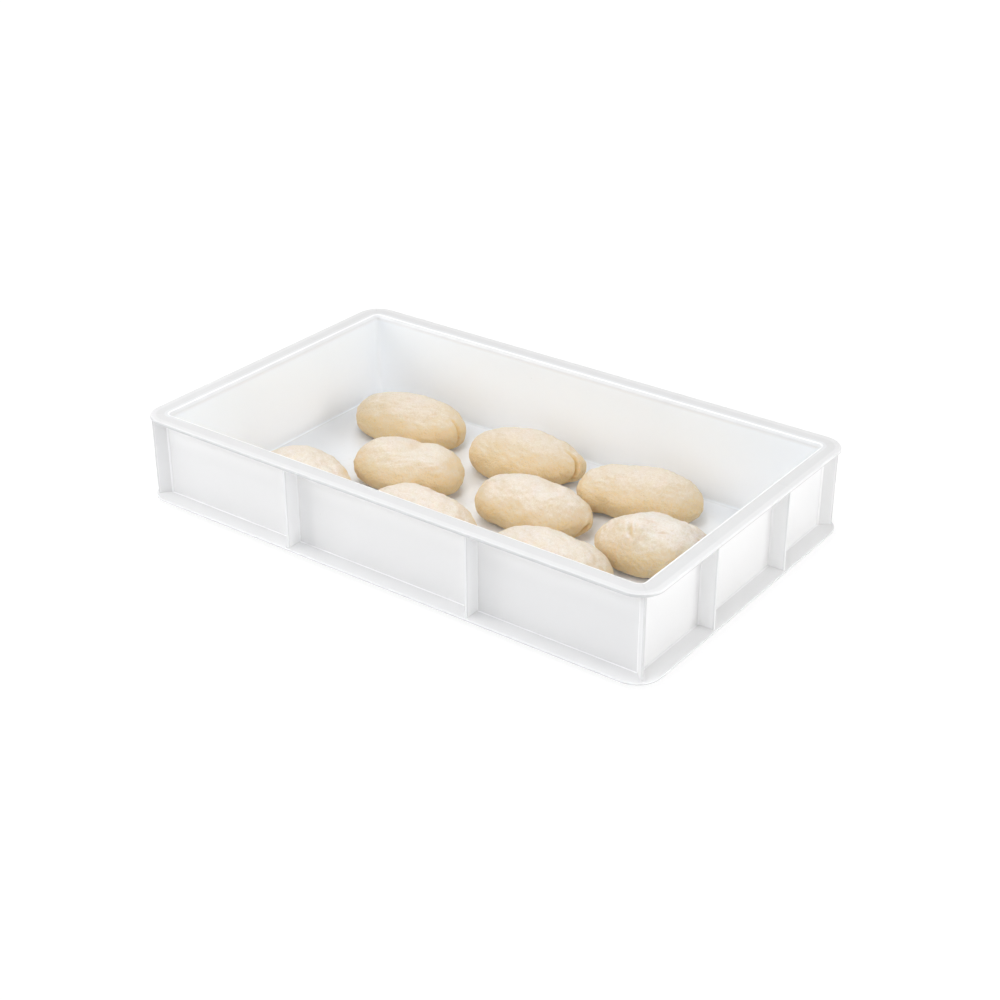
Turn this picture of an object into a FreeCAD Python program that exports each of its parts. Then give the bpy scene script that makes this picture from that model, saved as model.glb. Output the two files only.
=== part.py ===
import FreeCAD, Part
import os
from FreeCAD import Matrix, Vector

# A stacking tray for proofing dough: one white moulding with a wide rim, straight walls, thin fins
# outside, a base flange, and a foot that drops into the mouth of a tray below. Nine oval portions of
# dough lie loose on its floor, in three staggered rows.
# Frame: +X along the tray's length, +Y across it to the back, +Z up, with the origin under the middle
# of the foot. Lengths are in millimetres and angles in degrees.

# Tray as a whole
rim_length = 600.0
rim_width = 365.0
tray_height = 99.0
corner_radius = 25.0

# Rim: a flat flange with a rounded mouth
rim_thickness = 3.4
rim_reach = 18.3
rim_edge_round = 1.2
rim_under_round = 0.6
mouth_round = 4.0
mouth_corner_radius = 5.0

# Walls, floor and foot
wall_thickness = 2.5
floor_thickness = 2.5
floor_round = 2.5
foot_depth = 9.0
foot_wall = 2.4
foot_round = 1.5
stacking_clearance = 0.8

# Base flange
base_step = 1.0
base_thickness = 2.2
base_edge_round = 0.8

# Fins outside the walls: two to a side and one in each corner
fin_thickness = 2.4
fin_setback = 1.0
fin_edge_round = 0.6
root_round = 1.2
long_side_fin_spacing = 216.0
short_side_fin_spacing = 130.0
corner_fin_turn = 45.0
half_turn = 180.0

# Dough portions: the room round them on the floor sets their length and width
portion_height = 46.0
portion_gap = 20.0
row_gap = 2.0
left_margin = 36.0
right_margin = 26.0
back_margin = 25.0
front_margin = 38.0
portions_in_row = 3
rows = 3
stagger_share = 0.46
belly_height_share = 0.4

# Each portion by row and place in the row: its name, its shift in shares of the gap, its turn in degrees,
# and its length, width and height in shares of the usual portion's
portion_shares = (
    (
        ("dough_front_left", (-0.20, 0.00), -5.0, (0.98, 1.00, 1.00)),
        ("dough_front_middle", (-0.05, 0.05), -5.0, (1.06, 0.99, 1.00)),
        ("dough_front_right", (0.18, 0.30), 0.0, (1.08, 1.00, 1.00)),
    ),
    (
        ("dough_middle_left", (0.00, -0.22), 7.0, (1.00, 1.00, 1.00)),
        ("dough_middle_centre", (0.30, 0.28), 2.0, (1.01, 0.98, 0.95)),
        ("dough_middle_right", (0.00, 0.38), 16.0, (0.94, 1.00, 1.00)),
    ),
    (
        ("dough_back_left", (0.00, -0.05), 5.0, (1.03, 0.99, 0.98)),
        ("dough_back_middle", (0.25, 0.10), 13.0, (1.00, 1.00, 1.00)),
        ("dough_back_right", (0.00, 0.15), 7.0, (1.05, 1.00, 1.00)),
    ),
)

# How far a cutting solid runs past what it cuts, and how near counts as touching
overrun = 5.0
touch = 0.001
smooth_cosine = 0.99

# Heights and insets that follow
rim_under = tray_height - rim_thickness
base_top = foot_depth + base_thickness
mouth_inset = rim_reach + wall_thickness
foot_inset = mouth_inset + stacking_clearance
floor_inset = foot_inset + foot_wall
floor_length = rim_length - 2 * floor_inset
floor_width = rim_width - 2 * floor_inset

# Room for one portion along and across the floor
row_room = floor_length - left_margin - right_margin + portion_gap
column_room = floor_width - back_margin - front_margin + row_gap
cell_length = row_room / (portions_in_row + stagger_share)
cell_width = column_room / rows
portion_length = cell_length - portion_gap
portion_width = cell_width - row_gap


def outline(inset, radius, height):
    """A rounded rectangle set in from the rim's edge, as a closed wire at one height."""
    x = rim_length / 2 - inset
    y = rim_width / 2 - inset
    flat = Part.makePlane(2 * x, 2 * y, Vector(-x, -y, height))
    block = flat.extrude(Vector(0, 0, overrun))
    upright = [edge for edge in block.Edges if edge.BoundBox.ZLength > touch]
    rounded = block.makeFillet(radius, upright)
    lowest = [face for face in rounded.Faces if face.BoundBox.ZMax < height + touch]
    return lowest[0].OuterWire


def plate(inset, radius, bottom, top):
    """An upright prism of a rounded rectangle."""
    return Part.Face(outline(inset, radius, bottom)).extrude(Vector(0, 0, top - bottom))


def flat_edges(shape, height, inset=0.0):
    """The edges that lie level at one height and no further out than the inset."""
    x = rim_length / 2 - inset + touch
    y = rim_width / 2 - inset + touch
    found = []
    for edge in shape.Edges:
        box = edge.BoundBox
        level = abs(box.ZMin - height) < touch and abs(box.ZMax - height) < touch
        if level and max(box.XMax, -box.XMin) < x and max(box.YMax, -box.YMin) < y:
            found.append(edge)
    return found


def is_sharp(shape, edge):
    """True where the two faces beside an edge meet at an angle."""
    point = edge.CenterOfMass
    faces = shape.ancestorsOfType(edge, Part.Face)
    normals = [face.normalAt(*face.Surface.parameter(point)) for face in faces]
    return abs(normals[0].dot(normals[-1])) < smooth_cosine


def upright_corners(shape, guide):
    """The sharp upright edges of a shape that stand on a guide wire."""
    found = []
    for edge in shape.Edges:
        upright = edge.BoundBox.ZLength > fin_thickness and isinstance(edge.Curve, Part.Line)
        if upright and guide.distToShape(edge)[0] < touch and is_sharp(shape, edge):
            found.append(edge)
    return found


def fin_slabs():
    """Upright slabs where the fins stand. A slab across the tray holds the fins of both its sides."""
    bottom = base_top - overrun
    height = tray_height - bottom
    x = rim_length / 2 + overrun
    y = rim_width / 2 + overrun
    half = fin_thickness / 2
    slabs = []
    for side in (-1, 1):
        long_place = side * long_side_fin_spacing / 2
        short_place = side * short_side_fin_spacing / 2
        slabs.append(Part.makeBox(fin_thickness, 2 * y, height, Vector(long_place - half, -y, bottom)))
        slabs.append(Part.makeBox(2 * x, fin_thickness, height, Vector(-x, short_place - half, bottom)))
        for across in (-1, 1):
            slabs.append(corner_slab(side, across, bottom, height))
    return slabs


def corner_slab(along, across, bottom, height):
    """A slab that leaves the middle of one rounded corner on the slant."""
    x = along * (rim_length / 2 - corner_radius)
    y = across * (rim_width / 2 - corner_radius)
    start = Vector(0, -fin_thickness / 2, 0)
    slab = Part.makeBox(corner_radius + overrun, fin_thickness, height, start)
    turn = across * corner_fin_turn if along > 0 else across * (half_turn - corner_fin_turn)
    slab.rotate(Vector(0, 0, 0), Vector(0, 0, 1), turn)
    slab.translate(Vector(x, y, bottom))
    return slab


def recesses():
    """The spaces between the fins, under the rim and over the base flange, with rounded roots at the wall."""
    walls = wall_foot().extrude(Vector(0, 0, rim_under - base_top))
    ring = plate(-overrun, corner_radius + overrun, base_top, rim_under).cut(walls)
    spaces = ring.cut(Part.makeCompound(fin_slabs()))
    return [round_roots(space) for space in spaces.Solids]


def wall_foot():
    """The plan of the walls' outer faces, a rectangle whose corners lie inside the corner fins."""
    x = rim_length / 2 - rim_reach
    y = rim_width / 2 - rim_reach
    return Part.makePlane(2 * x, 2 * y, Vector(-x, -y, base_top))


def round_roots(space):
    """Rounds a recess where the wall meets the fins and the base flange."""
    foot = wall_foot().OuterWire
    roots = flat_edges(space, base_top, rim_reach) + upright_corners(space, foot)
    return space.makeFillet(root_round, roots)


def finned_walls():
    """The walls as a solid block with the fins standing on its sides."""
    fin_corner_radius = corner_radius - fin_setback
    block = plate(fin_setback, fin_corner_radius, base_top, rim_under)
    block = block.cut(Part.makeCompound(recesses()))
    fin_line = outline(fin_setback, fin_corner_radius, base_top)
    return block.makeFillet(fin_edge_round, upright_corners(block, fin_line))


def rim_plate():
    """The flat rim with its outer edge rounded above and below."""
    rim = plate(0.0, corner_radius, rim_under, tray_height)
    rim = rim.makeFillet(rim_edge_round, flat_edges(rim, tray_height))
    return rim.makeFillet(rim_under_round, flat_edges(rim, rim_under))


def base_plate():
    """The base flange, a little larger than the rim, with a rounded edge."""
    flange = plate(-base_step, corner_radius + base_step, foot_depth, base_top)
    edges = flat_edges(flange, base_top, -base_step) + flat_edges(flange, foot_depth, -base_step)
    return flange.makeFillet(base_edge_round, edges)


def stacking_foot():
    """The foot under the floor, small enough to drop into a mouth like the tray's own."""
    foot = plate(foot_inset, mouth_corner_radius, 0.0, base_top)
    return foot.makeFillet(foot_round, flat_edges(foot, 0.0))


def hollow():
    """The space inside the tray: walls that lean out a little from the floor to the mouth."""
    lean = (floor_inset - mouth_inset) / (tray_height - floor_thickness)
    low = outline(floor_inset, mouth_corner_radius, floor_thickness)
    high = outline(mouth_inset - lean * overrun, mouth_corner_radius, tray_height + overrun)
    space = Part.makeLoft([low, high], True, True)
    return space.makeFillet(floor_round, flat_edges(space, floor_thickness))


def tray():
    """The whole moulding as one solid."""
    body = finned_walls().multiFuse([rim_plate(), base_plate(), stacking_foot()]).removeSplitter()
    body = body.cut(hollow())
    return body.makeFillet(mouth_round, flat_edges(body, tray_height, rim_reach)).Solids[0]


def dough_portion(place, turn, size_shares):
    """A flat-bottomed oval dome that rests on the floor."""
    length_share, width_share, height_share = size_shares
    height = portion_height * height_share
    belly = height * belly_height_share
    scale = Matrix()
    scale.scale(portion_length * length_share / 2, portion_width * width_share / 2, height - belly)
    dome = Part.makeSphere(1).transformGeometry(scale)
    under = Vector(-portion_length, -portion_width, -belly - height)
    dome = dome.cut(Part.makeBox(2 * portion_length, 2 * portion_width, height, under))
    dome.rotate(Vector(0, 0, 0), Vector(0, 0, 1), turn)
    dome.translate(place + Vector(0, 0, floor_thickness + belly))
    return dome.Solids[0]


def portion_place(row, column, shift_shares):
    """The middle of one portion on the floor. The middle row is shifted along to stagger it."""
    stagger = stagger_share * cell_length if row == 1 else 0.0
    x = left_margin - floor_length / 2 + portion_length / 2 + column * cell_length + stagger
    y = front_margin - floor_width / 2 + portion_width / 2 + row * cell_width
    return Vector(x + shift_shares[0] * portion_gap, y + shift_shares[1] * portion_gap, 0)


def main():
    os.makedirs("parts", exist_ok=True)
    pieces = {"tray": tray()}
    for row, members in enumerate(portion_shares):
        for column, (name, shift_shares, turn, size_shares) in enumerate(members):
            pieces[name] = dough_portion(portion_place(row, column, shift_shares), turn, size_shares)
    for name, shape in pieces.items():
        shape.exportStep(f"parts/{name}.step")
        box = shape.optimalBoundingBox()
        size = [round(length, 1) for length in (box.XLength, box.YLength, box.ZLength)]
        print(name, shape.ShapeType, shape.isValid(), round(shape.Volume), "mm3, box", size)


main()
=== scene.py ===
# %% [markdown]
# # A proofing tray with nine portions of dough
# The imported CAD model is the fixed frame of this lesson: one white moulded tray, and nine plain domes that
# hold the place of the dough. The tray's shape is already right, so it only gets a better finish. The domes
# are too plain to show, so nine hand-shaped portions of dough are modelled in their place. Lengths are in
# metres unless a name says otherwise, +Z is up, and the origin lies under the middle of the tray's foot.

# %% Load the frame
import math

import bmesh
import bpy
import numpy as np
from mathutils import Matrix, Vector


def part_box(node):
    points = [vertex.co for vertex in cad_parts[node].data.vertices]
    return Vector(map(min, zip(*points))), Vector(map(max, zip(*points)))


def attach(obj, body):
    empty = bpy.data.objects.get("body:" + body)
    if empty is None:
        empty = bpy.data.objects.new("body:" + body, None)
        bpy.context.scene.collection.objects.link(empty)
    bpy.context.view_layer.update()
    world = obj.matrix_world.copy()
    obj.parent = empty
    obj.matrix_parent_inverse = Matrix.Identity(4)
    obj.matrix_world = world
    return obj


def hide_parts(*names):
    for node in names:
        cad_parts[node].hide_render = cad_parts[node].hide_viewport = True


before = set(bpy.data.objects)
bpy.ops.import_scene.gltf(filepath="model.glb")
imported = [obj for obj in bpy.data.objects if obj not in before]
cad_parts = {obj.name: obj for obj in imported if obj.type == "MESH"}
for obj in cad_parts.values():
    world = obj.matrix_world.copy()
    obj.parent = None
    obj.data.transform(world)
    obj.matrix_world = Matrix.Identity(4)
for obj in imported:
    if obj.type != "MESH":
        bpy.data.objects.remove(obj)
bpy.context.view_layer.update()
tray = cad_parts["tray"]
dough_names = sorted(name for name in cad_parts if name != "tray")

# %% [markdown]
# ## The camera
# The photograph was taken from the front right corner, a little above the tray, with a longish lens. A
# camera could be aimed by trial, but the straight edges of the rim and of the base give its place by
# calculation. A few values are enough: the turn round the tray, the height above the horizon, the distance,
# the point that it looks at, and the length of the lens.

# %% Place the camera
view_turn = math.radians(36.41)
view_rise = math.radians(28.10)
view_distance = 1.68951
view_point = Vector((0.06321, -0.0682, 0.069))
lens_in_picture_widths = 1.78591
film_width_mm = 36.0

camera_data = bpy.data.cameras.new("camera")
camera_data.sensor_width = film_width_mm
camera_data.lens = lens_in_picture_widths * film_width_mm
camera = bpy.data.objects.new("camera", camera_data)
bpy.context.scene.collection.objects.link(camera)
flat_reach = math.cos(view_rise)
backward = Vector((math.sin(view_turn) * flat_reach, -math.cos(view_turn) * flat_reach, math.sin(view_rise)))
camera.location = view_point + backward * view_distance
camera.rotation_euler = (-backward).to_track_quat("-Z", "Y").to_euler()
bpy.context.scene.camera = camera
print("camera at", [round(v, 3) for v in camera.location], "lens", round(camera_data.lens, 1), "mm")

# %% [markdown]
# ## Nodes written as sums
# A finish is a tree of shader nodes. Wiring dozens of nodes one by one hides the idea, so two small classes
# let the tree be written as ordinary Python. `Wire` stands for one socket: adding or multiplying wires adds
# Math nodes. `Finish` owns the tree, and its one method `node` makes any other node from its type, its
# settings and its sockets. The other methods are short names for nodes that come up often.

# %% Classes for writing finishes
class Wire:
    """A node's output that takes part in Python sums."""

    def __init__(self, finish, socket):
        self.finish = finish
        self.socket = socket

    def math(self, operation, first, second=0.0):
        """A Math node on two values."""
        return self.finish.node("ShaderNodeMath", {"operation": operation}, {0: first, 1: second})

    def __add__(self, other):
        return self.math("ADD", self, other)

    def __sub__(self, other):
        return self.math("SUBTRACT", self, other)

    def __rsub__(self, other):
        return self.math("SUBTRACT", other, self)

    def __mul__(self, other):
        return self.math("MULTIPLY", self, other)

    def __abs__(self):
        return self.math("ABSOLUTE", self)

    def lesser(self, other):
        """The smaller of two values."""
        return self.math("MINIMUM", self, other)

    def greater(self, other):
        """The larger of two values, which also joins two masks."""
        return self.math("MAXIMUM", self, other)

    def root(self):
        """The square root."""
        return self.math("SQRT", self)

    __radd__ = __add__
    __rmul__ = __mul__


class Finish:
    """A node tree that is written in Python."""

    def __init__(self, tree):
        self.tree = tree
        tree.nodes.clear()

    def node(self, kind, settings=None, sockets=None, output=0):
        """Adds a node: its settings are set first, then its sockets get values or wires."""
        made = self.tree.nodes.new(kind)
        for name, value in (settings or {}).items():
            setattr(made, name, value)
        for name, value in (sockets or {}).items():
            if isinstance(value, Wire):
                self.tree.links.new(value.socket, made.inputs[name])
            else:
                made.inputs[name].default_value = value
        return Wire(self, made.outputs[output]) if made.outputs else None

    def parts(self, vector):
        """The x, y and z of a vector."""
        split = self.node("ShaderNodeSeparateXYZ", None, {0: vector}).socket.node
        return [Wire(self, socket) for socket in split.outputs]

    def noise(self, place, scale, detail=2.0, chance=0.0):
        """Soft noise between 0 and 1. The chance moves it along a fourth axis, for another pattern."""
        sockets = {"Vector": place, "W": chance, "Scale": scale, "Detail": detail}
        return self.node("ShaderNodeTexNoise", {"noise_dimensions": "4D"}, sockets)

    def smooth(self, value, low, high):
        """0 below low, 1 above high, and an easy slope between."""
        settings = {"interpolation_type": "SMOOTHSTEP"}
        return self.node("ShaderNodeMapRange", settings, {"Value": value, "From Min": low, "From Max": high})

    def ramp(self, value, low, high):
        """0 below low, 1 above high, and a straight slope between."""
        return self.node("ShaderNodeMapRange", None, {"Value": value, "From Min": low, "From Max": high})

    def mix(self, share, first, second):
        """The first colour where share is 0 and the second where it is 1."""
        return self.node("ShaderNodeMix", {"data_type": "RGBA"}, {0: share, 6: first, 7: second}, output=2)

    def bump(self, height, distance, under=None):
        """A normal tilted by a height between 0 and 1, which counts for the distance."""
        sockets = {"Height": height, "Distance": distance}
        if under:
            sockets["Normal"] = under
        return self.node("ShaderNodeBump", None, sockets)

    def end(self, shader, kind="ShaderNodeOutputMaterial"):
        """The tree's output."""
        self.node(kind, None, {"Surface": shader})


def new_finish(name):
    """A material with an empty tree, and the tree as a Finish."""
    material = bpy.data.materials.new(name)
    material.use_nodes = True
    return material, Finish(material.node_tree)


print("finishes are written with", Wire.__name__, "and", Finish.__name__)

# %% [markdown]
# ## Studio: surroundings and floor
# The tray stands in a white light tent. One way to get white all round is to pour light on the scene, but
# then the white plastic burns out. Here the walls of the tent give a plain light, its top gives less, and
# both only look fully white to the camera and in reflections: the Light Path node tells those rays from the
# rays that carry light. The floor does the same and still takes a faint shadow of the tray.

# %% Surroundings
def seen_directly(finish):
    """1 for rays that only show what is around, also in a reflection, and 0 for rays that carry light."""
    kinds = ("Is Camera Ray", "Is Glossy Ray", "Is Transmission Ray")
    camera_ray, glossy_ray, clear_ray = (finish.node("ShaderNodeLightPath", output=kind) for kind in kinds)
    return camera_ray.greater(glossy_ray).greater(clear_ray)


white = (1.0, 1.0, 1.0, 1.0)
tent_wall_light = 0.545
tent_top_light = 0.13
tent_look = 1.0
overhead_span = (0.05, 0.75)

world = bpy.data.worlds.new("light_tent")
world.use_nodes = True
bpy.context.scene.world = world
tent = Finish(world.node_tree)
direction = tent.node("ShaderNodeTexCoord", output="Generated")
rise = tent.parts(direction)[2]
tent_walls = tent.node("ShaderNodeBackground", None, {"Color": white, "Strength": tent_wall_light})
tent_top = tent.node("ShaderNodeBackground", None, {"Color": white, "Strength": tent_top_light})
overhead = tent.smooth(rise, *overhead_span)
lighting = tent.node("ShaderNodeMixShader", None, {0: overhead, 1: tent_walls, 2: tent_top})
look = tent.node("ShaderNodeBackground", None, {"Color": white, "Strength": tent_look})
shown = tent.node("ShaderNodeMixShader", None, {0: seen_directly(tent), 1: lighting, 2: look})
tent.end(shown, "ShaderNodeOutputWorld")
print("tent lights with", tent_wall_light, "at its walls and", tent_top_light, "overhead, and looks white")

# %% Floor
floor_half = 15.0
floor_bounce = (0.92, 0.92, 0.92, 1.0)
floor_look = 1.05
floor_shadow_share = 0.14
shadow_reach = 0.30
shadow_end = 0.95

floor_mesh = bpy.data.meshes.new("floor")
corners = [(-floor_half, -floor_half, 0), (floor_half, -floor_half, 0)]
corners += [(floor_half, floor_half, 0), (-floor_half, floor_half, 0)]
floor_mesh.from_pydata(corners, [], [(0, 1, 2, 3)])
floor = bpy.data.objects.new("floor", floor_mesh)
bpy.context.scene.collection.objects.link(floor)

floor_paper, paper = new_finish("floor_paper")
bounce = paper.node("ShaderNodeBsdfDiffuse", None, {"Color": floor_bounce})
shaded = paper.node("ShaderNodeBsdfDiffuse", None, {"Color": white})
bright = paper.node("ShaderNodeEmission", None, {"Color": white, "Strength": floor_look})
place = paper.node("ShaderNodeTexCoord", output="Object")
from_middle = paper.node("ShaderNodeVectorMath", {"operation": "LENGTH"}, {0: place}, output="Value")
shadow_fade = 1 - paper.smooth(from_middle, shadow_reach, shadow_end)
shadow_share = floor_shadow_share * shadow_fade
looks = paper.node("ShaderNodeMixShader", None, {0: shadow_share, 1: bright, 2: shaded})
paper.end(paper.node("ShaderNodeMixShader", None, {0: seen_directly(paper), 1: bounce, 2: looks}))
floor_mesh.materials.append(floor_paper)
print("floor of", 2 * floor_half, "m with a soft shadow")

# %% [markdown]
# ## Studio: five soft lamps
# A tent alone leaves the upright faces dull and the inside of the tray flat. One strong lamp would throw
# hard shadows of the rim, so five broad, weak lamps share the work. The left, front and right lamps make
# the upright faces as bright as the level ones, the back lamp lights the inner side of the front wall, and
# the top lamp lights the floor between the portions. The back lamp is kept out of reflections, because it
# would glare on the rim. The front lamp is a touch blue, against the warm light that the dough throws on
# the walls.

# %% Lamps
plain_light = (1.0, 1.0, 1.0)
bluish_light = (0.965, 0.99, 1.045)


def lamp(at, side, power, colour=plain_light):
    """A square lamp: its place, its side in metres, its power in watts and its colour."""
    return {"at": Vector(at), "side": side, "power": power, "colour": colour}


lamps = {
    "left_lamp": lamp((-1.34, -0.94, 0.76), 1.0, 10.3),
    "front_lamp": lamp((0.20, -1.18, 1.34), 1.0, 10.2, bluish_light),
    "right_lamp": lamp((1.61, 0.28, 0.76), 1.4, 15.6),
    "back_lamp": lamp((-0.78, 1.00, 1.27), 1.0, 7.4),
    "top_lamp": lamp((0.10, -0.38, 1.76), 0.7, 8.0),
}
for name, row in lamps.items():
    lamp_data = bpy.data.lights.new(name, "AREA")
    lamp_data.shape = "SQUARE"
    lamp_data.size = row["side"]
    lamp_data.energy = row["power"]
    lamp_data.color = row["colour"]
    lamp_object = bpy.data.objects.new(name, lamp_data)
    lamp_object.visible_glossy = name != "back_lamp"
    lamp_object.location = row["at"]
    lamp_object.rotation_euler = (-row["at"]).to_track_quat("-Z", "Y").to_euler()
    bpy.context.scene.collection.objects.link(lamp_object)
bpy.context.scene.view_settings.view_transform = "Standard"
print("lamps:", {name: row["power"] for name, row in lamps.items()}, "W")

# %% [markdown]
# ## The tray's plastic
# The tray is one moulding of white polyethylene: satin, a little waxy, with light soaking a few millimetres
# into it. A plain white shader would look like paint, so light is let under the skin (subsurface). The small
# marks on it could be painted as an image, but each of them follows from the place on the moulding. So the
# finish first works out how far a spot lies from the rim's edge, from the walls and from the fins, and every
# mark is a product of masks over such distances. A mask is 0 outside its zone and 1 inside. The six lengths
# that it starts from are those of the CAD model.

# %% Plastic: where a spot lies
rim_half_length = 0.300
rim_half_width = 0.1825
corner_round = 0.025
wall_inset = 0.0183
rim_under = 0.0956
base_top = 0.0112

plastic_material, plastic = new_finish("white_plastic")
spot = plastic.node("ShaderNodeTexCoord", output="Object")
along, across, height = plastic.parts(spot)
from_end = rim_half_length - abs(along)
from_side = rim_half_width - abs(across)
from_wall = from_end.lesser(from_side)
past_end = (corner_round - from_end).greater(0.0)
past_side = (corner_round - from_side).greater(0.0)
from_corner_middle = (past_end * past_end + past_side * past_side).root()
from_edge = corner_round - from_corner_middle + (from_wall - corner_round).greater(0.0)


def fade(value, low, high):
    """1 below low, 0 above high, and an easy slope between."""
    return 1 - plastic.smooth(value, low, high)


def line_at(distance, half_width):
    """1 on a line and 0 beyond half_width from it."""
    return fade(abs(distance), 0.0, half_width)


def band(value, low, high, ease):
    """1 between low and high, and 0 beyond an easy slope of the given width on both sides."""
    return plastic.smooth(value, low - ease, low) * fade(value, high, high + ease)


print("distances from the rim's edge follow a corner radius of", corner_round, "m")

# %% [markdown]
# ## The tray's plastic: zones and marks
# Each zone has its own white, and these whites are painted light and shade on one white plastic: the rim, the
# ledge and the mouth darker, the inside mostly paler and tinted blue, the ends lighter. Plastic sinks a
# little where a fin stands behind a face: a thin line crosses the rim over each fin, and a soft hollow runs
# down the inside of the wall. Rounded edges get painted highlights, and the undersides of rim and base get
# painted shade. Use leaves scuffs on what rubs: the rim's outer edge, the base edge and the foot. A span
# below says between which two distances a mask rises or fades, and a band says where a mask lies and how
# softly it ends.

# %% Plastic: zones
rim_level_span = (rim_under - 0.0008, rim_under)
mouth_span = (0.0165, 0.0195)
inside_span = (wall_inset + 0.0007, wall_inset + 0.0020)
rim_top_span = (0.0965, 0.0985)
rim_edge_span = (0.0050, 0.0070)
wall_rise_span = (0.010, 0.085)
under_mouth_span = (0.0915, 0.0955)
tray_floor_span = (0.0026, 0.0032)
at_end_span = (-0.002, 0.002)

rim_level = plastic.smooth(height, *rim_level_span)
mouth = plastic.smooth(from_edge, *mouth_span) * rim_level
inside = plastic.smooth(from_edge, *inside_span).greater(mouth)
rim_top = plastic.smooth(height, *rim_top_span)
rim_edge = fade(from_edge, *rim_edge_span)
# The two masks below carry painted light and shade on the inner walls: paler low down, darker at the mouth.
up_the_wall = plastic.smooth(height, *wall_rise_span)
under_mouth = plastic.smooth(height, *under_mouth_span)
tray_floor = fade(height, *tray_floor_span)
at_end = plastic.smooth(from_side - from_end, *at_end_span)
print("zones: inside, rim, walls, floor and ends")

# %% Plastic: the floor's middle and the far mouth
# Painted light and shade: the floor is painted palest in its middle and darker near its ends and sides, and
# the mouth is painted darker at the back and on the left.
floor_end_span = (0.040, 0.125)
floor_side_span = (0.040, 0.075)
floor_side_share = 0.5
back_span = (0.10, 0.15)
left_span = (0.22, 0.27)
far_mouth_span = (0.0135, 0.0150)
far_mouth_height_span = (0.0945, 0.0955)

off_sides = 1 - floor_side_share * fade(from_side, *floor_side_span)
floor_middle = plastic.smooth(from_end, *floor_end_span) * off_sides
at_back = plastic.smooth(across, *back_span)
at_left = plastic.smooth(0 - along, *left_span)
far_mouth = at_back.greater(at_left) * plastic.smooth(from_edge, *far_mouth_span)
far_mouth = far_mouth * plastic.smooth(height, *far_mouth_height_span)
print("the floor is palest in its middle, and the mouth is dullest at the back and on the left")

# %% Plastic: sink marks over the fins
long_side_fin = 0.108
short_side_fin = 0.065
by_wall_span = (0.032, 0.034)
rim_sink_width = 0.0025
wall_sink_width = 0.0120
by_side = fade(from_side, *by_wall_span)
by_end = fade(from_end, *by_wall_span)


def over_fins(half_width):
    """1 over the middle of a fin and 0 beyond half_width from it, on all sides and corners."""
    side_fin = line_at(abs(along) - long_side_fin, half_width) * by_side
    end_fin = line_at(abs(across) - short_side_fin, half_width) * by_end
    corner_fin = line_at(from_end - from_side, half_width) * by_side * by_end
    return side_fin.greater(end_fin).greater(corner_fin)


rim_sink = over_fins(rim_sink_width) * rim_top
wall_sink = over_fins(wall_sink_width) * inside * (1 - rim_top)
print("sink marks over fins at", long_side_fin, "and", short_side_fin, "m")

# %% Plastic: painted highlights on edges
# Painted highlights: thin light lines on the wall roots, the mouth's edge and the floor's edge, where a
# rounded edge would catch light. The fin edges get a painted tone of their own, and the corner fins' faces
# painted shade.
beside_wall_band = (base_top - 0.0004, rim_under - 0.0010, 0.0004)
above_base_span = (base_top + 0.0004, base_top + 0.0012)
off_corner_span = (0.026, 0.030)
fin_edge_span = (0.0014, 0.0024)
corner_face_span = (0.0014, 0.0026)
root_edge_band = (wall_inset - 0.0014, wall_inset - 0.0005, 0.0003)
mouth_edge_band = (0.0176, 0.0188, 0.0005)
floor_edge_band = (0.0222, 0.0252, 0.0004)
floor_edge_height_band = (0.0029, 0.0046, 0.0004)

beside_wall = band(height, *beside_wall_band)
on_fins = beside_wall * plastic.smooth(height, *above_base_span)
off_corner = plastic.smooth(from_end.greater(from_side), *off_corner_span)
fin_edge = on_fins * off_corner * fade(from_edge, *fin_edge_span)
corner_face = on_fins * (1 - off_corner) * fade(from_edge, *corner_face_span)
root_edge = beside_wall * band(from_wall, *root_edge_band)
mouth_edge = band(from_edge, *mouth_edge_band) * rim_level
painted_edge_highlight = root_edge.greater(mouth_edge)
floor_edge = band(height, *floor_edge_height_band) * band(from_edge, *floor_edge_band)
print("bright edges on fins, wall roots, mouth and floor")

# %% Plastic: painted shade under the rim and at the base, and the base's ledge
# Painted shade: a dark band on the rim's lip, a dark line along the base's outer edge, and a dimmed highlight
# on the base's upper edge. The ledge between the fins gets its own painted white.
lip_low_span = (rim_under - 0.0007, rim_under - 0.0003)
lip_height = 0.0010
lip_rise = 0.0018
lip_rise_span = (0.004, 0.020)
lip_ease = 0.0004
lip_edge_span = (0.0020, 0.0035)
base_shade_band = (0.0085, 0.0102, 0.0004)
base_shade_span = (0.0010, 0.0030)
ledge_height_band = (base_top - 0.0003, base_top + 0.0003, 0.0003)
ledge_band = (0.0004, wall_inset - 0.0010, 0.0004)
base_edge_band = (base_top - 0.0010, base_top + 0.0002, 0.0003)
base_edge_span = (-0.0003, 0.0005)

# The painted shade under the rim is taller along the long sides than at the ends.
lip_top = rim_under + lip_height + lip_rise * fade(from_side, *lip_rise_span)
on_lip = plastic.smooth(height, *lip_low_span) * fade(height - lip_top, 0.0, lip_ease)
lip_shade = on_lip * fade(from_edge, *lip_edge_span)
base_shade = band(height, *base_shade_band) * fade(from_edge, *base_shade_span)
ledge = band(height, *ledge_height_band) * band(from_edge, *ledge_band)
base_edge = band(height, *base_edge_band) * fade(from_edge, *base_edge_span)
print("dull seams under the rim and the base, and the ledge between the fins")

# %% Plastic: recesses between the fins
# Painted light: the recesses are lighter near the top under the rim, except at the ends, and on the sides of
# the fins, where the rim and the fins would shade them. The sides of the corner fins get painted shade
# instead.
recess_edge_span = (0.0024, 0.0034)
recess_wall_span = (wall_inset, wall_inset + 0.0008)
recess_band = (base_top + 0.0006, rim_under + 0.0004, 0.0006)
under_rim_span = (0.060, rim_under)
fin_side_span = (wall_inset - 0.0006, wall_inset - 0.0002)

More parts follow.
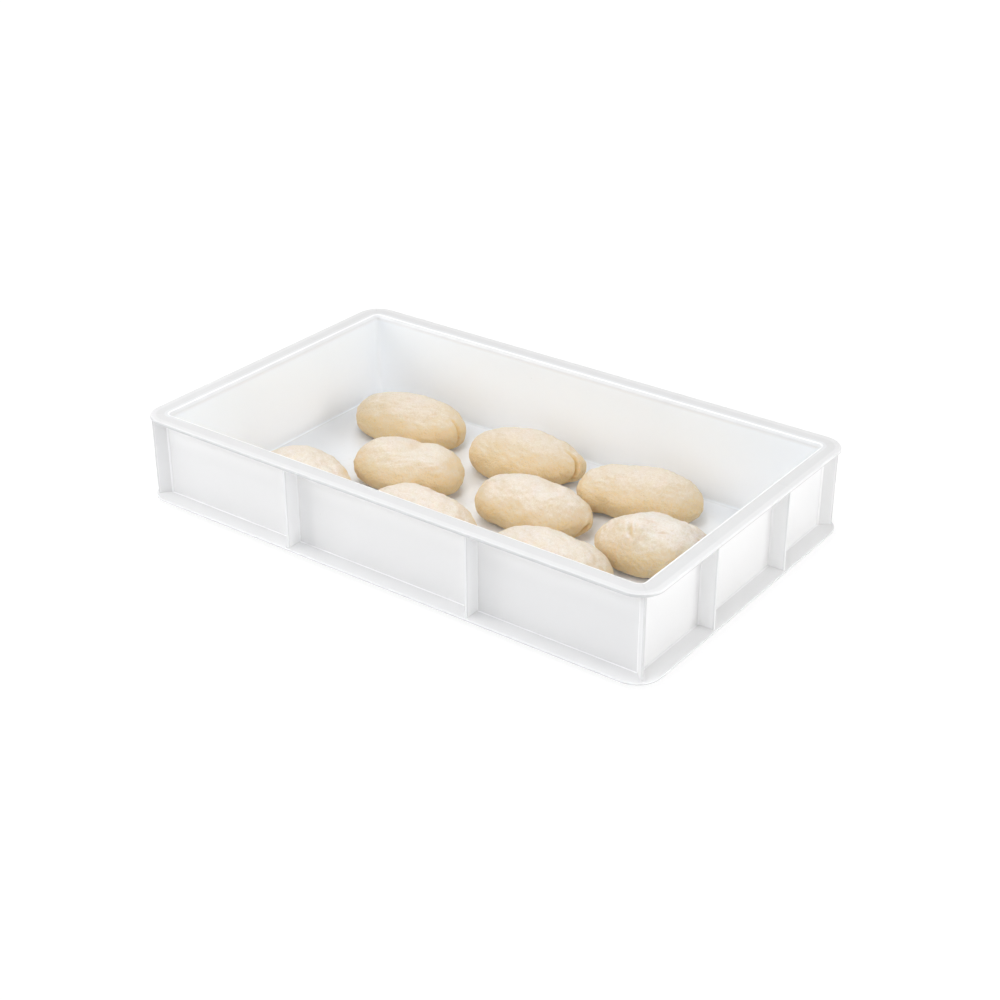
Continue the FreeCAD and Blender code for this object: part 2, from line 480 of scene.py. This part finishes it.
recess = plastic.smooth(from_edge, *recess_edge_span) * fade(from_wall, *recess_wall_span)
recess = recess * band(height, *recess_band)
under_rim = recess * plastic.smooth(height, *under_rim_span) * (1 - at_end)
fin_side = recess * fade(from_wall, *fin_side_span)
painted_recess_light = fin_side.greater(under_rim)
corner_side = fin_side * (1 - off_corner)
print("recesses are sheltered beside the fins and under the rim")

# %% Plastic: grain, specks and scuffs
grain_scale = 2600.0
grain_detail = 1.0
waves_scale = 9.0
speck_scale = 46.0
speck_size_span = (0.015, 0.03)
speck_patch_scale = 60.0
speck_patch_span = (0.5, 0.6)
scratch_scale = 160.0
scratch_detail = 6.0
scratch_span = (0.56, 0.70)
outer_edge_span = (0.0005, 0.003)
foot_edge_span = (0.001, 0.010)

grain = plastic.noise(spot, grain_scale, grain_detail)
waves = plastic.noise(spot, waves_scale)
speck_cell = plastic.node("ShaderNodeTexVoronoi", {"feature": "F1"}, {"Vector": spot, "Scale": speck_scale})
speck_patch = plastic.smooth(plastic.noise(spot, speck_patch_scale), *speck_patch_span)
speck = fade(speck_cell, *speck_size_span) * speck_patch
scratch = plastic.smooth(plastic.noise(spot, scratch_scale, scratch_detail), *scratch_span)
rubbed = fade(from_edge, *outer_edge_span).greater(fade(height, *foot_edge_span)) * scratch
print("grain, specks and scuffs are ready")

# %% Plastic: whites
# The first white is the plastic's own, and the specks and scuffs are real marks. The other whites paint light
# and shade on that one white, zone by zone.
outer_white = (0.805, 0.802, 0.798, 1.0)
# Painted light: the end faces are a little lighter than the long sides.
end_lit_white = (0.825, 0.823, 0.821, 1.0)
# Painted shade: the rim's top is darker than the walls, against the stronger light from above, and its outer
# edge a little less dark.
rim_top_shade_white = (0.695, 0.692, 0.689, 1.0)
rim_edge_painted_white = (0.745, 0.742, 0.739, 1.0)
# Painted shade on the outer faces of the corner fins.
corner_fin_shade_white = (0.640, 0.638, 0.636, 1.0)
# Painted shade on the ledge between the fins along the long sides, and painted light on it at the ends.
ledge_shade_white = (0.755, 0.752, 0.748, 1.0)
end_ledge_lit_white = (0.835, 0.832, 0.830, 1.0)
# Painted shade on the top of the inner wall at the mouth, and a darker painted shade on the mouth at the back
# and on the left.
mouth_shade_white = (0.818, 0.832, 0.846, 1.0)
far_mouth_shade_white = (0.750, 0.754, 0.758, 1.0)
# Painted light inside: the walls are paler towards the floor and the floor is palest in its middle, against
# the shade there, and these whites are tinted blue against the warm light from the dough. The floor is
# painted darker near its ends and sides.
low_wall_lit_white = (0.928, 0.962, 1.0, 1.0)
high_wall_lit_white = (0.895, 0.936, 0.993, 1.0)
mid_floor_lit_white = (0.930, 0.962, 0.998, 1.0)
side_floor_shade_white = (0.700, 0.702, 0.704, 1.0)
# Painted highlight along the floor's edge at the foot of the walls.
floor_edge_highlight_white = (0.900, 0.950, 1.0, 1.0)
# Painted light in the recesses under the rim and on the fins' sides, and painted shade on the sides of the
# corner fins.
recess_lit_white = (0.945, 0.942, 0.938, 1.0)
corner_side_shade_white = (0.775, 0.773, 0.771, 1.0)
# Painted highlights on the wall roots and the mouth's edge, and a painted tone on the fin edges, about as
# white as the walls.
edge_highlight_white = (0.995, 0.995, 0.995, 1.0)
fin_edge_painted_white = (0.800, 0.800, 0.800, 1.0)
# Painted shade: the base edge's highlight is dimmed, and dark lines of shade lie along the base's outer edge
# and on the rim's lip.
base_edge_shade_white = (0.78, 0.78, 0.782, 1.0)
base_shade_grey = (0.62, 0.62, 0.622, 1.0)
lip_shade_grey = (0.60, 0.60, 0.60, 1.0)
# Real scuffs; the same white also paints a faint highlight along the sink lines on the rim.
worn_and_highlight_white = (0.76, 0.758, 0.75, 1.0)
speck_grey = (0.62, 0.61, 0.59, 1.0)
print("whites from", speck_grey[:3], "to", edge_highlight_white[:3])

# %% Plastic: colours
rubbed_weight = 0.25
# The sink lines' colour is a painted highlight; their dip is the bump below.
rim_sink_highlight_weight = 0.06
speck_weight = 0.5

# Painted light and shade inside: the walls paler low down and darker at the mouth, a painted highlight along
# the floor's edge, and the floor palest in its middle.
wall_colour = plastic.mix(up_the_wall, low_wall_lit_white, high_wall_lit_white)
wall_colour = plastic.mix(under_mouth, wall_colour, mouth_shade_white)
wall_colour = plastic.mix(floor_edge, wall_colour, floor_edge_highlight_white)
floor_colour = plastic.mix(floor_middle, side_floor_shade_white, mid_floor_lit_white)
# Each coat lays one zone's white over the last. All but the scuffs and the specks are painted light and
# shade, and the sink lines' coat is a painted highlight.
coats = (
    (rim_top, plastic.mix(rim_edge, rim_top_shade_white, rim_edge_painted_white)),
    (inside, plastic.mix(tray_floor, wall_colour, floor_colour)),
    (far_mouth, far_mouth_shade_white),
    (ledge, plastic.mix(at_end, ledge_shade_white, end_ledge_lit_white)),
    (painted_recess_light, plastic.mix(corner_side, recess_lit_white, corner_side_shade_white)),
    (painted_edge_highlight, edge_highlight_white),
    (fin_edge, fin_edge_painted_white),
    (corner_face, corner_fin_shade_white),
    (base_edge, base_edge_shade_white),
    (base_shade, base_shade_grey),
    (lip_shade, lip_shade_grey),
    (rubbed * rubbed_weight, worn_and_highlight_white),
    (rim_sink * rim_sink_highlight_weight, worn_and_highlight_white),
    (speck * speck_weight, speck_grey),
)
# The plastic's own white, painted lighter on the end faces.
colour = plastic.mix(at_end, outer_white, end_lit_white)
for mask, coat in coats:
    colour = plastic.mix(mask, colour, coat)
print(len(coats), "coats over the outer white")

# %% Plastic: the shader
rim_sink_depth = 0.00020
wall_sink_depth = 0.00030
grain_depth = 0.000006
satin_roughness = 0.30
wave_roughness = 0.08
rubbed_roughness = 0.14

roughness = satin_roughness + wave_roughness * waves + rubbed_roughness * rubbed
relief = plastic.bump(1 - rim_sink, rim_sink_depth)
relief = plastic.bump(1 - wall_sink, wall_sink_depth, relief)
relief = plastic.bump(grain, grain_depth, relief)
plastic_shader = plastic.node("ShaderNodeBsdfPrincipled", None, {
    "Base Color": colour,
    "Roughness": roughness,
    "Normal": relief,
    "IOR": 1.5,
    "Subsurface Weight": 0.8,
    "Subsurface Radius": (1.0, 1.0, 1.0),
    "Subsurface Scale": 0.005,
})
plastic.end(plastic_shader)
for tray_slot in tray.material_slots:
    tray_slot.material = plastic_material
print("plastic with", len(plastic.tree.nodes), "nodes on", len(tray.material_slots), "slot")

# %% [markdown]
# ## Dough: a soft form from a few lumps
# A portion of dough is rolled by hand: a smooth oval with a heavy belly, which sags on the floor and keeps a
# fold where its ends were tucked in. Sculpting it by hand can't be repeated by a script, and a scaled ball
# looks like an egg. So each form is written as a few egg-shaped lumps that melt together. A point's distance
# to the melted form is one formula, and the skin lies where that distance is zero. The skin is found by
# sending a ray from the middle out through each point of a ball. Work inside the form is in millimetres, and
# places in it are shares of the portion's half length, half width and height, so that a form keeps its looks
# at any size.

# %% Dough: a ball of even squares
ball_steps = 60
eighth_turn = math.pi / 4


def even_ball(steps):
    """A mesh of a cube's grid blown up to a ball, so that no point of it has crowded faces."""
    form = bmesh.new()
    bmesh.ops.create_cube(form, size=2.0)
    bmesh.ops.subdivide_edges(form, edges=form.edges[:], cuts=steps - 1, use_grid_fill=True)
    for vert in form.verts:
        warped = Vector([math.tan(part * eighth_turn) for part in vert.co])
        vert.co = warped.normalized()
    ball = bpy.data.meshes.new("ball")
    form.to_mesh(ball)
    form.free()
    return ball


ball = even_ball(ball_steps)
ball_rays = np.empty(3 * len(ball.vertices), np.float32)
ball.vertices.foreach_get("co", ball_rays)
ball_rays = ball_rays.reshape(-1, 3).astype(float)
print("ball of", len(ball.polygons), "faces")

# %% Dough: distance to the melted lumps
melt = 6.0
base_round = 10.0
longest_ray = 150.0
halvings = 36
nudge = 0.05
smallest_slope = 1e-9


def to_lump(points, middle, radii):
    """Nearly the distance from points to an egg-shaped lump, negative inside."""
    offset = points - middle
    near = np.linalg.norm(offset / radii, axis=1)
    slope = np.linalg.norm(offset / radii**2, axis=1)
    return near * (near - 1.0) / np.maximum(slope, smallest_slope)


def melted(first, second, width):
    """A soft minimum of two distances, which rounds the seam where two lumps meet."""
    overlap = np.maximum(width - np.abs(first - second), 0.0) / width
    return np.minimum(first, second) - overlap**2 * width / 4


def to_form(points, lumps):
    """Distance to the form: lumps melted together and cut level at the floor with a rounded edge."""
    gap = to_lump(points, *lumps[0])
    for middle, radii in lumps[1:]:
        gap = melted(gap, to_lump(points, middle, radii), melt)
    return -melted(-gap, points[:, 2], base_round)


def skin_points(rays, start, lumps):
    """Where rays from a start inside the form leave it, by halving the gap between inside and outside."""
    near = np.zeros(len(rays))
    far = np.full(len(rays), longest_ray)
    for _ in range(halvings):
        half = (near + far) / 2
        is_inside = to_form(start + rays * half[:, None], lumps) < 0
        near = np.where(is_inside, half, near)
        far = np.where(is_inside, far, half)
    return start + rays * near[:, None]


def skin_normals(points, lumps):
    """The outward direction at points of the skin, from how the distance changes."""
    level = to_form(points, lumps)
    steps = [to_form(points + nudge * axis, lumps) - level for axis in np.eye(3)]
    slope = np.stack(steps, 1)
    return slope / np.linalg.norm(slope, axis=1)[:, None]


print("lumps melt over", melt, "mm, and the floor edge is rounded over", base_round, "mm")

# %% [markdown]
# ## Dough: folds, wrinkles and swellings
# The tucked ends leave one or two deep folds, the floured skin is drawn into fine wrinkles, and gas makes
# slow swellings. A bump in the finish could fake them, but folds show in the outline, so they move the mesh.
# A fold is a groove along a bent line on the skin, with a raised lip on both sides. A patch of wrinkles is a
# spray of short, shallow grooves with almost the same heading. Swellings are a sum of long waves in many
# directions.

# %% Dough: grooves
groove_reach_widths = 5
taper_power = 0.6
side_lip_share = 0.35
side_lip_widths = 2.2
half_step = 0.5


def bent_line(first, middle, last, count=25):
    """Points along a curve that leaves from first, bends towards middle and ends at last."""
    share = np.linspace(0.0, 1.0, count)[:, None]
    return (1 - share) ** 2 * first + 2 * share * (1 - share) * middle + share**2 * last


def groove(points, line, depth, width):
    """How far a groove pushes the skin in, and how much of a fold each point is."""
    reach = groove_reach_widths * width
    low, high = line.min(0) - reach, line.max(0) + reach
    close = np.flatnonzero(((points > low) & (points < high)).all(1))
    gaps = np.linalg.norm(points[close, None] - line[None], axis=2)
    nearest = gaps.argmin(1)
    gap = gaps[np.arange(len(close)), nearest] / width
    taper = np.sin(np.pi * (nearest + half_step) / len(line)) ** taper_power
    bottom = np.exp(-gap**2) * taper
    side_lip = side_lip_share * np.exp(-((gap - side_lip_widths) ** 2)) * taper
    push = np.zeros(len(points))
    crease = np.zeros(len(points))
    push[close] = depth * (bottom - side_lip)
    crease[close] = bottom
    return push, crease


print("a groove's raised lips lie", side_lip_widths, "widths from its bottom")

# %% Dough: swellings and wrinkles
wave_count = 28
wave_spread = (0.7, 1.4)
wrinkle_stray = 0.22
wrinkle_length_spread = (0.5, 1.0)
wrinkle_sway = 0.10


def swelling(points, wave_length, chance):
    """A slow, random rise and fall with a spread of about 1."""
    heading = chance.normal(size=(wave_count, 3))
    heading /= np.linalg.norm(heading, axis=1)[:, None]
    rate = 2 * math.pi / (wave_length * chance.uniform(*wave_spread, wave_count))
    turn = chance.uniform(0, 2 * math.pi, wave_count)
    return np.cos(points @ (heading * rate[:, None]).T + turn).sum(1) / math.sqrt(wave_count / 2)


def wrinkle_lines(patch, size, chance):
    """Start, bend and end of each short groove in a patch, in millimetres."""
    middle = np.array(patch["at"]) * size
    heading = np.array(patch["toward"], float)
    heading /= np.linalg.norm(heading)
    for _ in range(patch["count"]):
        run = heading + chance.normal(0, wrinkle_stray, 3)
        run *= patch["length"] * chance.uniform(*wrinkle_length_spread) / 2
        sway = chance.normal(0, wrinkle_sway * patch["length"], 3)
        place = middle + chance.normal(0, patch["spread"], 3)
        yield place - run, place + sway, place + run


print("a swelling sums", wave_count, "waves")

# %% [markdown]
# ## Dough: the nine forms
# No two hand-shaped portions are alike. Each row below is one portion: its turn on the floor in degrees, its
# lumps, its folds, its patches of wrinkles, how much more or less flour than usual it carries, which also
# paints more or less light on its crown, and the seed of its random draws. The first lump of each is the
# plain oval of the CAD dome, a little slimmer, and the others fill a shoulder, a broad end or a tucked tip.

# %% Dough: table of forms
def lump(along_share, across_share, up_share, long_share, wide_share, high_share):
    """An egg-shaped lump: its middle and its radii, in shares of half length, half width and height."""
    return (along_share, across_share, up_share), (long_share, wide_share, high_share)


def fold(first, middle, last, depth=2.6, width=1.9):
    """A fold along a bent line, with its depth and width in millimetres. A depth below zero makes a ridge."""
    return {"line": (first, middle, last), "depth": depth, "width": width}


def wrinkles(at, toward, count=12, length=16.0, spread=7.0, depth=0.35, width=0.9):
    """A patch of fine wrinkles that run in one direction, along, across and up the portion."""
    return {"at": at, "toward": toward, "count": count, "length": length, "spread": spread,
            "depth": depth, "width": width}


oval = lump(0.0, 0.0, 0.40, 0.985, 0.985, 0.59)
# The flour share also paints light on the crown: the front row and the middle right portion get more, the
# back row less.
forms = {
    "dough_back_left": {
        "turn": 5.0,
        "lumps": [
            oval,
            lump(-0.35, 0.03, 0.41, 0.62, 0.90, 0.58),
            lump(0.30, 0.00, 0.41, 0.66, 0.90, 0.575),
            lump(0.82, 0.20, 0.32, 0.13, 0.38, 0.30),
        ],
        "folds": [fold((0.80, 0.02, 0.78), (0.97, -0.04, 0.58), (0.92, -0.14, 0.14), 2.8, 1.6)],
        "wrinkles": [
            wrinkles((0.62, -0.40, 0.80), (0.3, 1.0, 0.1), 12, 17.0, 6.0, 0.28),
            wrinkles((0.25, -0.30, 0.93), (0.5, 1.0, 0.0), 12),
            wrinkles((-0.30, 0.00, 0.95), (1.0, 0.4, 0.0), 8),
        ],
        "flour_and_light": -0.06,
        "chance": 11,
    },
    "dough_back_middle": {
        "turn": 13.0,
        "lumps": [
            oval,
            lump(-0.20, 0.03, 0.41, 0.72, 0.92, 0.585),
            lump(0.865, 0.14, 0.32, 0.13, 0.36, 0.30),
        ],
        "folds": [fold((0.76, 0.04, 0.80), (0.94, -0.06, 0.58), (0.82, -0.42, 0.16), 4.4, 1.8)],
        "wrinkles": [
            wrinkles((0.02, -0.95, 0.45), (0.0, 0.1, 1.0), 8, 14.0, 5.0, 0.4),
            wrinkles((0.20, -0.30, 0.95), (0.4, 1.0, 0.0), 10),
            wrinkles((0.72, -0.30, 0.65), (0.4, 0.3, 1.0), 6),
        ],
        "flour_and_light": -0.08,
        "chance": 23,
    },
    "dough_back_right": {
        "turn": 7.0,
        "lumps": [
            lump(0.05, 0.0, 0.40, 0.94, 0.97, 0.575),
            lump(0.22, 0.05, 0.41, 0.74, 0.92, 0.59),
            lump(-0.58, -0.12, 0.37, 0.40, 0.78, 0.50),
        ],
        "folds": [fold((-0.75, 0.35, 0.72), (-0.62, 0.05, 0.86), (-0.45, -0.35, 0.85), 0.7, 5.0)],
        "wrinkles": [
            wrinkles((-0.35, -0.45, 0.87), (1.0, 0.6, 0.1), 10),
            wrinkles((0.30, 0.00, 0.97), (1.0, 0.2, 0.0), 8),
        ],
        "flour_and_light": -0.05,
        "chance": 31,
    },
    "dough_middle_left": {
        "turn": 7.0,
        "lumps": [
            lump(0.03, 0.0, 0.40, 0.96, 0.97, 0.57),
            lump(-0.30, -0.04, 0.42, 0.56, 0.84, 0.575),
            lump(0.40, 0.06, 0.41, 0.54, 0.86, 0.57),
        ],
        "folds": [
            fold((0.00, 0.60, 0.85), (0.08, 0.25, 1.00), (0.10, -0.15, 0.98), 0.8, 6.0),
            fold((-0.78, -0.60, 0.42), (-0.66, -0.74, 0.34), (-0.50, -0.86, 0.22), 0.9, 2.6),
        ],
        "wrinkles": [
            wrinkles((0.00, -0.55, 0.88), (1.0, 0.65, 0.2), 12),
            wrinkles((0.55, -0.35, 0.82), (1.0, 0.3, 0.0), 8),
            wrinkles((-0.45, 0.00, 0.92), (1.0, 0.5, 0.0), 6),
        ],
        "flour_and_light": 0.06,
        "chance": 47,
    },
    "dough_middle_centre": {
        "turn": 2.0,
        "lumps": [
            oval,
            lump(-0.25, 0.00, 0.41, 0.66, 0.90, 0.58),
            lump(0.42, -0.05, 0.40, 0.52, 0.84, 0.565),
            lump(0.945, 0.04, 0.41, 0.07, 0.15, 0.15),
        ],
        "folds": [
            fold((1.00, 0.02, 0.46), (0.99, -0.16, 0.36), (0.88, -0.34, 0.15), 2.8, 1.6),
            fold((0.09, 0.72, 0.83), (0.22, 0.30, 1.00), (0.36, -0.10, 0.97), 0.8, 6.0),
            fold((0.30, -0.50, 0.87), (0.43, -0.25, 0.93), (0.52, 0.02, 0.93), -0.7, 1.5),
        ],
        "wrinkles": [
            wrinkles((0.43, -0.25, 0.92), (0.5, 1.0, 0.1), 10, 15.0, 5.0, 0.4),
            wrinkles((-0.42, -0.86, 0.55), (0.8, 0.1, 1.0), 10, 15.0, 6.0, 0.4),
        ],
        "flour_and_light": 0.12,
        "chance": 59,
    },
    "dough_middle_right": {
        "turn": 16.0,
        "lumps": [
            oval,
            lump(-0.15, 0.05, 0.42, 0.72, 0.92, 0.58),
            lump(0.30, -0.02, 0.40, 0.66, 0.88, 0.57),
        ],
        "folds": [
            fold((0.70, -0.12, 0.82), (0.76, -0.20, 0.77), (0.79, -0.30, 0.70), 1.4, 1.3),
            fold((-0.36, -0.20, 0.95), (-0.36, -0.42, 0.93), (-0.25, -0.64, 0.83), 1.4, 1.5),
            fold((-0.27, -0.16, 0.97), (-0.24, -0.36, 0.95), (-0.20, -0.52, 0.90), 0.6, 1.2),
            fold((0.08, -0.36, 0.95), (0.16, -0.32, 0.96), (0.24, -0.36, 0.93), 0.8, 1.2),
        ],
        "wrinkles": [
            wrinkles((-0.05, 0.02, 1.00), (1.0, 0.15, 0.0), 10, 15.0, 5.0, 0.5, 1.1),
            wrinkles((-0.15, -0.40, 0.93), (0.2, 1.0, 0.3), 8, 15.0, 6.0, 0.4),
        ],
        "flour_and_light": 0.28,
        "chance": 61,
    },
    "dough_front_left": {
        "turn": -5.0,
        "lumps": [oval, lump(-0.15, 0.05, 0.41, 0.70, 0.92, 0.58), lump(0.88, 0.12, 0.33, 0.13, 0.34, 0.27)],
        "folds": [fold((0.82, 0.04, 0.78), (1.00, -0.02, 0.56), (0.92, -0.22, 0.16), 2.4, 1.7)],
        "wrinkles": [
            wrinkles((-0.20, 0.10, 0.98), (1.0, 0.4, 0.0), 12),
            wrinkles((0.30, 0.05, 0.96), (1.0, 0.8, 0.0), 10),
        ],
        "flour_and_light": 0.14,
        "chance": 73,
    },
    "dough_front_middle": {
        "turn": -5.0,
        "lumps": [oval, lump(-0.25, 0.02, 0.41, 0.68, 0.92, 0.58), lump(0.30, 0.02, 0.41, 0.66, 0.90, 0.57)],
        "folds": [fold((0.84, 0.06, 0.74), (1.00, -0.02, 0.50), (0.92, -0.24, 0.16), 2.2, 1.7)],
        "wrinkles": [
            wrinkles((-0.15, 0.08, 0.99), (1.0, -0.5, 0.0), 12),
            wrinkles((0.45, 0.12, 0.93), (1.0, -0.2, -0.2), 8),
        ],
        "flour_and_light": 0.15,
        "chance": 83,
    },
    "dough_front_right": {
        "turn": 0.0,
        "lumps": [oval, lump(-0.15, 0.00, 0.41, 0.74, 0.92, 0.58), lump(0.35, 0.05, 0.40, 0.60, 0.88, 0.565)],
        "folds": [fold((0.84, 0.06, 0.74), (1.00, 0.00, 0.50), (0.92, -0.24, 0.16), 2.2, 1.7)],
        "wrinkles": [
            wrinkles((-0.23, -0.12, 0.98), (1.0, -0.5, 0.0), 14, 15.0, 6.0, 0.5, 1.1),
            wrinkles((0.30, 0.18, 0.96), (1.0, -0.2, -0.1), 12, 15.0, 7.0, 0.45),
        ],
        "flour_and_light": 0.15,
        "chance": 97,
    },
}
assert sorted(forms) == dough_names
print("forms:", ", ".join(forms))

# %% [markdown]
# ## Dough: from a form to a piece
# Each piece takes its size and place from the CAD dome that it stands for: the dome's points, turned back by
# the portion's turn, give its half length, half width and height. The piece's own origin lies on the floor
# under its middle, so that its finish can be written in its own axes and moves with it when the portion is
# lifted out. Near the floor the skin is moved less, because the portion's weight presses it flat there.

# %% Dough: one portion's skin
millimetre = 0.001
start_height_share = 0.40
ray_squash = np.array([1.0, 1.0, 0.6])
# Each swelling has a height and a wave length, both in millimetres.
swells = ((0.75, 46.0), (0.28, 17.0), (0.15, 7.0))
wrinkle_depth_spread = (0.3, 1.1)
wrinkle_points = 9
full_fold_depth = 2.0
settled_height = 8.0


def dome_frame(name, turn):
    """The dome's place on the floor, and its half length, half width and height in millimetres."""
    low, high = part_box(name)
    origin = Vector(((low.x + high.x) / 2, (low.y + high.y) / 2, low.z))
    points = np.array([vert.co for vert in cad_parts[name].data.vertices]) - np.array(origin)
    points_along = points[:, 0] * math.cos(turn) + points[:, 1] * math.sin(turn)
    points_across = points[:, 1] * math.cos(turn) - points[:, 0] * math.sin(turn)
    size = (points_along.max(), points_across.max(), points[:, 2].max())
    return origin, np.array(size) / millimetre


def dough_skin(form, size):
    """Points of one portion's skin, and how much of a fold each of them is."""
    chance = np.random.default_rng(form["chance"])
    lumps = [(np.array(middle) * size, np.array(radii) * size) for middle, radii in form["lumps"]]
    start = np.array([0.0, 0.0, start_height_share * size[2]])
    rays = ball_rays * size * ray_squash
    rays /= np.linalg.norm(rays, axis=1)[:, None]
    points = skin_points(rays, start, lumps)
    push = np.zeros(len(points))
    for swell, wave_length in swells:
        push -= swell * swelling(points, wave_length, chance)
    creases = np.zeros(len(points))
    grooves = []
    for one in form["folds"]:
        ends = [np.array(place) * size for place in one["line"]]
        grooves.append((bent_line(*ends), one["depth"], one["width"]))
    for patch in form["wrinkles"]:
        for ends in wrinkle_lines(patch, size, chance):
            depth = patch["depth"] * chance.uniform(*wrinkle_depth_spread)
            grooves.append((bent_line(*ends, wrinkle_points), depth, patch["width"]))
    for line, depth, width in grooves:
        heading = line - start
        on_skin = skin_points(heading / np.linalg.norm(heading, axis=1)[:, None], start, lumps)
        moved, crease = groove(points, on_skin, depth, width)
        push += moved
        creases = np.maximum(creases, crease * min(1.0, max(0.0, depth / full_fold_depth)))
    settled = np.clip(points[:, 2] / settled_height, 0.0, 1.0)
    points = points - skin_normals(points, lumps) * (push * settled)[:, None]
    return points, creases * settled


print(len(swells), "sizes of swelling, up to", swells[0][0], "mm high")

# %% Dough: build the nine pieces
def dough_piece(name, form):
    """A portion of dough in the place of its dome."""
    turn = math.radians(form["turn"])
    origin, size = dome_frame(name, turn)
    points, creases = dough_skin(form, size)
    mesh = ball.copy()
    mesh.name = name + "_skin"
    mesh.vertices.foreach_set("co", (points * millimetre).astype(np.float32).ravel())
    fold_share = mesh.attributes.new("fold_share", "FLOAT", "POINT")
    fold_share.data.foreach_set("value", creases.astype(np.float32))
    flour_and_light_share = mesh.attributes.new("flour_and_light_share", "FLOAT", "POINT")
    flour_and_light_share.data.foreach_set("value", [form["flour_and_light"]] * len(mesh.vertices))
    mesh.polygons.foreach_set("use_smooth", [True] * len(mesh.polygons))
    mesh.update()
    piece = bpy.data.objects.new(name + "_portion", mesh)
    piece.location = origin
    piece.rotation_euler = (0.0, 0.0, turn)
    bpy.context.scene.collection.objects.link(piece)
    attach(piece, name)
    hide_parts(name)
    return piece


portions = {name: dough_piece(name, form) for name, form in forms.items()}
for name, piece in portions.items():
    print(name, [round(v / millimetre, 1) for v in piece.dimensions], "mm")

# %% [markdown]
# ## Dough: the floured skin
# Raw dough is cream on top, where flour and dried skin make it pale and matt, and warmer and darker
# underneath, where it is moist and light passes through it. A painted image would have to be made nine times,
# so the finish follows the same causes instead: how far a spot faces upwards decides between the moist and
# the dry colour, slow noise spreads the flour in patches, and fine noise gives the mottled grain. The upward
# rule is partly painted light as well: the top is painted paler and the faces that turn down darker, as light
# falls on them. The folds and the foot of a portion keep the warmest, darkest colour, as painted shade of the
# creases and of the floor.

# %% Dough: where a spot lies
chance_range = 30.0
patch_scale = 55.0
patch_detail = 3.0
mottle_scale = 430.0
dust_scale = 880.0
fine_detail = 1.0
noise_middle = 0.5

dough_material, dough = new_finish("floured_dough")
own_place = dough.node("ShaderNodeTexCoord", output="Object")
own_height = dough.parts(own_place)[2]
own_chance = dough.node("ShaderNodeObjectInfo", output="Random") * chance_range
upward = dough.parts(dough.node("ShaderNodeNewGeometry", output="Normal"))[2]
folded = dough.node("ShaderNodeAttribute", {"attribute_name": "fold_share"}, output="Fac")
floured_and_lit = dough.node("ShaderNodeAttribute", {"attribute_name": "flour_and_light_share"}, output="Fac")
patches = dough.noise(own_place, patch_scale, patch_detail, own_chance) - noise_middle
mottle = dough.noise(own_place, mottle_scale, fine_detail, own_chance) - noise_middle
dust = dough.noise(own_place, dust_scale, fine_detail, own_chance) - noise_middle
print("the skin knows its height, its upward share, its folds and its flour")

# %% Dough: colours
# Four tones from the floured crown to the darkest gold. The two darkest also paint shade: underneath, in the
# folds and at the foot.
flour_cream = (0.900, 0.832, 0.760, 1.0)
dry_cream = (0.745, 0.620, 0.452, 1.0)
moist_and_shade_tan = (0.775, 0.570, 0.288, 1.0)
shade_gold = (0.660, 0.415, 0.150, 1.0)

least_pale = 0.15
upward_weight = 0.10
crown_weight = 0.64
fold_shade_weight = 0.25
patch_weight = 0.24
mottle_weight = 0.45
dust_weight = 0.85
dry_span = (0.0, 0.5)
cream_span = (0.5, 1.25)
foot_shade_span = (0.001, 0.014)
foot_shade_share = 0.7
fold_shade_share = 0.5

# How pale a spot is: partly the floured, dried crown and the mottling, partly painted light that makes the
# top paler and the faces turned down darker. Folds are painted darker as shade.
crown = upward * upward
pale = least_pale + upward_weight * upward + crown_weight * crown * crown
pale = pale + floured_and_lit * crown - fold_shade_weight * folded
pale = pale + patch_weight * patches + mottle_weight * mottle + dust_weight * dust
skin_colour = dough.mix(dough.ramp(pale, *dry_span), moist_and_shade_tan, dry_cream)
skin_colour = dough.mix(dough.ramp(pale, *cream_span), skin_colour, flour_cream)
# Painted shade: the foot, where the portion meets the floor, and the folds turn towards the darkest gold.
foot_shade = foot_shade_share * (1 - dough.smooth(own_height, *foot_shade_span))
skin_colour = dough.mix(foot_shade.greater(fold_shade_share * folded), skin_colour, shade_gold)
print("four tones of dough, from", shade_gold[:3], "to", flour_cream[:3])

# %% Dough: the shader
flour_span = (0.5, 1.0)
skin_roughness = 0.62
flour_roughness = 0.20
mottle_depth = 0.0011
dust_depth = 0.0007

flour_and_light = dough.ramp(pale, *flour_span)
skin_relief = dough.bump(mottle, mottle_depth)
skin_relief = dough.bump(dust, dust_depth, skin_relief)
dough_shader = dough.node("ShaderNodeBsdfPrincipled", None, {
    "Base Color": skin_colour,
    "Roughness": skin_roughness + flour_roughness * flour_and_light,
    "Normal": skin_relief,
    "Specular IOR Level": 0.3,
    "Sheen Weight": 0.12,
    "Sheen Roughness": 0.4,
    "Subsurface Weight": 0.3,
    "Subsurface Radius": (1.0, 0.55, 0.28),
    "Subsurface Scale": 0.006,
})
dough.end(dough_shader)
for piece in portions.values():
    piece.data.materials.clear()
    piece.data.materials.append(dough_material)
print("dough finish with", len(dough.tree.nodes), "nodes on", len(portions), "pieces")
